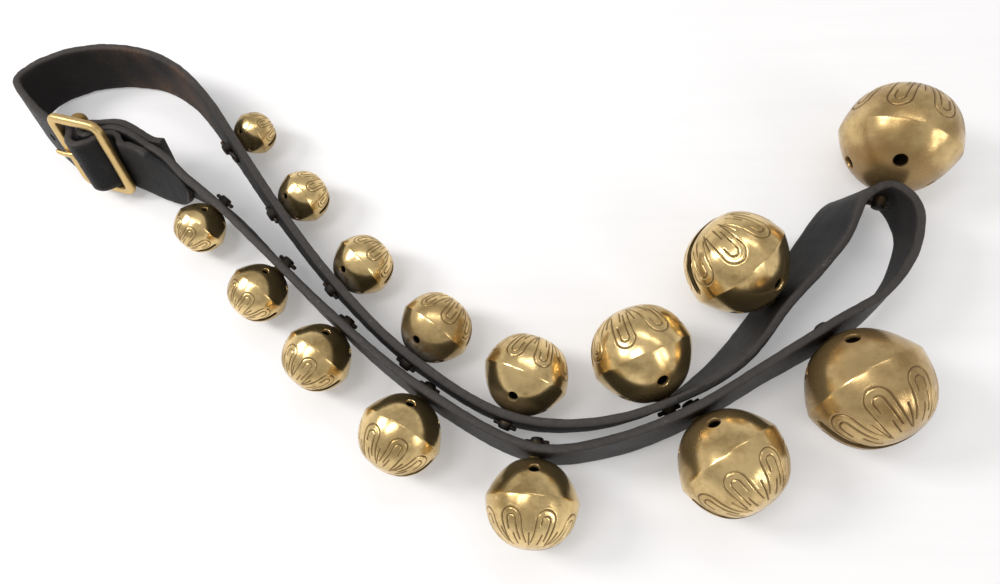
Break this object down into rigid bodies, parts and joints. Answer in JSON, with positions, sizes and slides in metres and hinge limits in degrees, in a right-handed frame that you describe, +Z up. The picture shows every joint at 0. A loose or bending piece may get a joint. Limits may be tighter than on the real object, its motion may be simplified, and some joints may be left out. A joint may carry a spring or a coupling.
{
  "type": "sleigh_bell_strap",
  "caption": "Antique leather sleigh bell strap, buckled in a loop and standing on its edge, with graduated engraved brass petal bells",
  "frame": {"origin": "under the middle of the whole strap, on the table it stands on", "axes": "+X along the length of the loop away from the buckle, +Y from the front run to the back run, +Z up"},
  "size_m": [0.6556, 0.3528, 0.0746],
  "materials": {
    "bell_brass": "polished cast brass, browned by age near the strap",
    "buckle_brass": "worn brass",
    "leather": "old black harness leather, worn brown at the edges",
    "iron": "dark rusted iron",
    "copper": "dull copper"
  },
  "bodies": {
    "strap": {"strap": "leather", "buckle_frame": "buckle_brass", "chape_rivet_1": "copper", "chape_rivet_2": "copper"},
    "buckle_tongue": {"buckle_tongue": "buckle_brass"},
    "bell_01": {"bell_01": "bell_brass", "keeper_pin_01": "iron"},
    "pellet_01": {"pellet_01": "iron"},
    "bell_02": {"bell_02": "bell_brass", "keeper_pin_02": "iron"},
    "pellet_02": {"pellet_02": "iron"},
    "bell_03": {"bell_03": "bell_brass", "keeper_pin_03": "iron"},
    "pellet_03": {"pellet_03": "iron"},
    "bell_04": {"bell_04": "bell_brass", "keeper_pin_04": "iron"},
    "pellet_04": {"pellet_04": "iron"},
    "bell_05": {"bell_05": "bell_brass", "keeper_pin_05": "iron"},
    "pellet_05": {"pellet_05": "iron"},
    "bell_06": {"bell_06": "bell_brass", "keeper_pin_06": "iron"},
    "pellet_06": {"pellet_06": "iron"},
    "bell_07": {"bell_07": "bell_brass", "keeper_pin_07": "iron"},
    "pellet_07": {"pellet_07": "iron"},
    "bell_08": {"bell_08": "bell_brass", "keeper_pin_08": "iron"},
    "pellet_08": {"pellet_08": "iron"},
    "bell_09": {"bell_09": "bell_brass", "keeper_pin_09": "iron"},
    "pellet_09": {"pellet_09": "iron"},
    "bell_10": {"bell_10": "bell_brass", "keeper_pin_10": "iron"},
    "pellet_10": {"pellet_10": "iron"},
    "bell_11": {"bell_11": "bell_brass", "keeper_pin_11": "iron"},
    "pellet_11": {"pellet_11": "iron"},
    "bell_12": {"bell_12": "bell_brass", "keeper_pin_12": "iron"},
    "pellet_12": {"pellet_12": "iron"},
    "bell_13": {"bell_13": "bell_brass", "keeper_pin_13": "iron"},
    "pellet_13": {"pellet_13": "iron"},
    "bell_14": {"bell_14": "bell_brass", "keeper_pin_14": "iron"},
    "pellet_14": {"pellet_14": "iron"},
    "bell_15": {"bell_15": "bell_brass", "keeper_pin_15": "iron"},
    "pellet_15": {"pellet_15": "iron"}
  },
  "joints": [
    {"name": "bell_01_swivel", "type": "hinge", "parent": "strap", "child": "bell_01", "pos_m": [-0.15304, 0.11078, 0.01962], "axis": [0.7497, 0.6389, -0.1725], "range_deg": [-20, 20]},
    {"name": "pellet_01_roll", "type": "slide", "parent": "bell_01", "child": "pellet_01", "axis": [0.1451, 0.0955, 0.9848], "range_m": [0, 0.01724]},
    {"name": "bell_02_swivel", "type": "hinge", "parent": "strap", "child": "bell_02", "pos_m": [-0.11233, 0.05782, 0.02017], "axis": [0.7938, 0.5958, -0.1219], "range_deg": [-20, 20]},
    {"name": "pellet_02_roll", "type": "slide", "parent": "bell_02", "child": "pellet_02", "axis": [0.0976, 0.073, 0.9925], "range_m": [0, 0.02161]},
    {"name": "bell_03_swivel", "type": "hinge", "parent": "strap", "child": "bell_03", "pos_m": [-0.06673, 0.00438, 0.02134], "axis": [0.7412, 0.6693, -0.0523], "range_deg": [-20, 20]},
    {"name": "pellet_03_roll", "type": "slide", "parent": "bell_03", "child": "pellet_03", "axis": [0.0323, 0.0423, 0.9986], "range_m": [0, 0.02525]},
    {"name": "bell_04_swivel", "type": "hinge", "parent": "strap", "child": "bell_04", "pos_m": [-0.01557, -0.04216, 0.02435], "axis": [0.6172, 0.7866, 0.0174], "range_deg": [-20, 20]},
    {"name": "pellet_04_roll", "type": "slide", "parent": "bell_04", "child": "pellet_04", "axis": [-0.0268, -0.0011, 0.9996], "range_m": [0, 0.02961]},
    {"name": "bell_05_swivel", "type": "hinge", "parent": "strap", "child": "bell_05", "pos_m": [0.04284, -0.07501, 0.02737], "axis": [0.403, 0.9124, 0.0718], "range_deg": [-20, 20]},
    {"name": "pellet_05_roll", "type": "slide", "parent": "bell_05", "child": "pellet_05", "axis": [-0.0484, -0.0571, 0.9972], "range_m": [0, 0.03398]},
    {"name": "bell_06_swivel", "type": "hinge", "parent": "strap", "child": "bell_06", "pos_m": [0.11594, -0.06421, 0.03204], "axis": [-0.394, 0.9085, 0.1392], "range_deg": [-20, 20]},
    {"name": "pellet_06_roll", "type": "slide", "parent": "bell_06", "child": "pellet_06", "axis": [0.0497, -0.1301, 0.9902], "range_m": [0, 0.04126]},
    {"name": "bell_07_swivel", "type": "hinge", "parent": "strap", "child": "bell_07", "pos_m": [0.18033, -0.00582, 0.03269], "axis": [-0.6535, 0.6841, 0.3241], "range_deg": [-20, 20]},
    {"name": "pellet_07_roll", "type": "slide", "parent": "bell_07", "child": "pellet_07", "axis": [0.2476, -0.2114, 0.9455], "range_m": [0, 0.04417]},
    {"name": "bell_08_swivel", "type": "hinge", "parent": "strap", "child": "bell_08", "pos_m": [0.29044, 0.07669, 0.03751], "axis": [0.3653, 0.9075, 0.2076], "range_deg": [-20, 20]},
    {"name": "pellet_08_roll", "type": "slide", "parent": "bell_08", "child": "pellet_08", "axis": [-0.1297, -0.1712, 0.9767], "range_m": [0, 0.04999]},
    {"name": "bell_09_swivel", "type": "hinge", "parent": "strap", "child": "bell_09", "pos_m": [0.24372, -0.08379, 0.03743], "axis": [0.4421, -0.8864, 0.1376], "range_deg": [-20, 20]},
    {"name": "pellet_09_roll", "type": "slide", "parent": "bell_09", "child": "pellet_09", "axis": [-0.0854, 0.1112, 0.9901], "range_m": [0, 0.04926]},
    {"name": "bell_10_swivel", "type": "hinge", "parent": "strap", "child": "bell_10", "pos_m": [0.16155, -0.12617, 0.03328], "axis": [0.5288, -0.8441, 0.0889], "range_deg": [-20, 20]},
    {"name": "pellet_10_roll", "type": "slide", "parent": "bell_10", "child": "pellet_10", "axis": [-0.0547, 0.0706, 0.996], "range_m": [0, 0.04271]},
    {"name": "bell_11_swivel", "type": "hinge", "parent": "strap", "child": "bell_11", "pos_m": [0.04647, -0.14874, 0.02834], "axis": [-0.093, -0.995, 0.0353], "range_deg": [-20, 20]},
    {"name": "pellet_11_roll", "type": "slide", "parent": "bell_11", "child": "pellet_11", "axis": [0.0015, 0.0353, 0.9994], "range_m": [0, 0.03543]},
    {"name": "bell_12_swivel", "type": "hinge", "parent": "strap", "child": "bell_12", "pos_m": [-0.03298, -0.10729, 0.02689], "axis": [-0.4972, -0.8668, 0.0369], "range_deg": [-20, 20]},
    {"name": "pellet_12_roll", "type": "slide", "parent": "bell_12", "child": "pellet_12", "axis": [-0.0056, 0.0458, 0.9989], "range_m": [0, 0.03325]},
    {"name": "bell_13_swivel", "type": "hinge", "parent": "strap", "child": "bell_13", "pos_m": [-0.08981, -0.05709, 0.02338], "axis": [-0.6119, -0.7907, 0.0192], "range_deg": [-20, 20]},
    {"name": "pellet_13_roll", "type": "slide", "parent": "bell_13", "child": "pellet_13", "axis": [-0.0071, 0.0297, 0.9995], "range_m": [0, 0.02816]},
    {"name": "bell_14_swivel", "type": "hinge", "parent": "strap", "child": "bell_14", "pos_m": [-0.13399, -0.0116, 0.02203], "axis": [-0.6457, -0.7634, -0.0172], "range_deg": [-20, 20]},
    {"name": "pellet_14_roll", "type": "slide", "parent": "bell_14", "child": "pellet_14", "axis": [-0.0148, -0.0099, 0.9998], "range_m": [0, 0.02452]},
    {"name": "bell_15_swivel", "type": "hinge", "parent": "strap", "child": "bell_15", "pos_m": [-0.18113, 0.03781, 0.02087], "axis": [-0.643, -0.7609, -0.0871], "range_deg": [-20, 20]},
    {"name": "pellet_15_roll", "type": "slide", "parent": "bell_15", "child": "pellet_15", "axis": [-0.019, -0.0978, 0.995], "range_m": [0, 0.02088]},
    {"name": "tongue_lift", "type": "hinge", "parent": "strap", "child": "buckle_tongue", "pos_m": [-0.25797, 0.09543, 0.03288], "axis": [0.0069, 0.3245, 0.9458], "range_deg": [0, 12]}
  ]
}
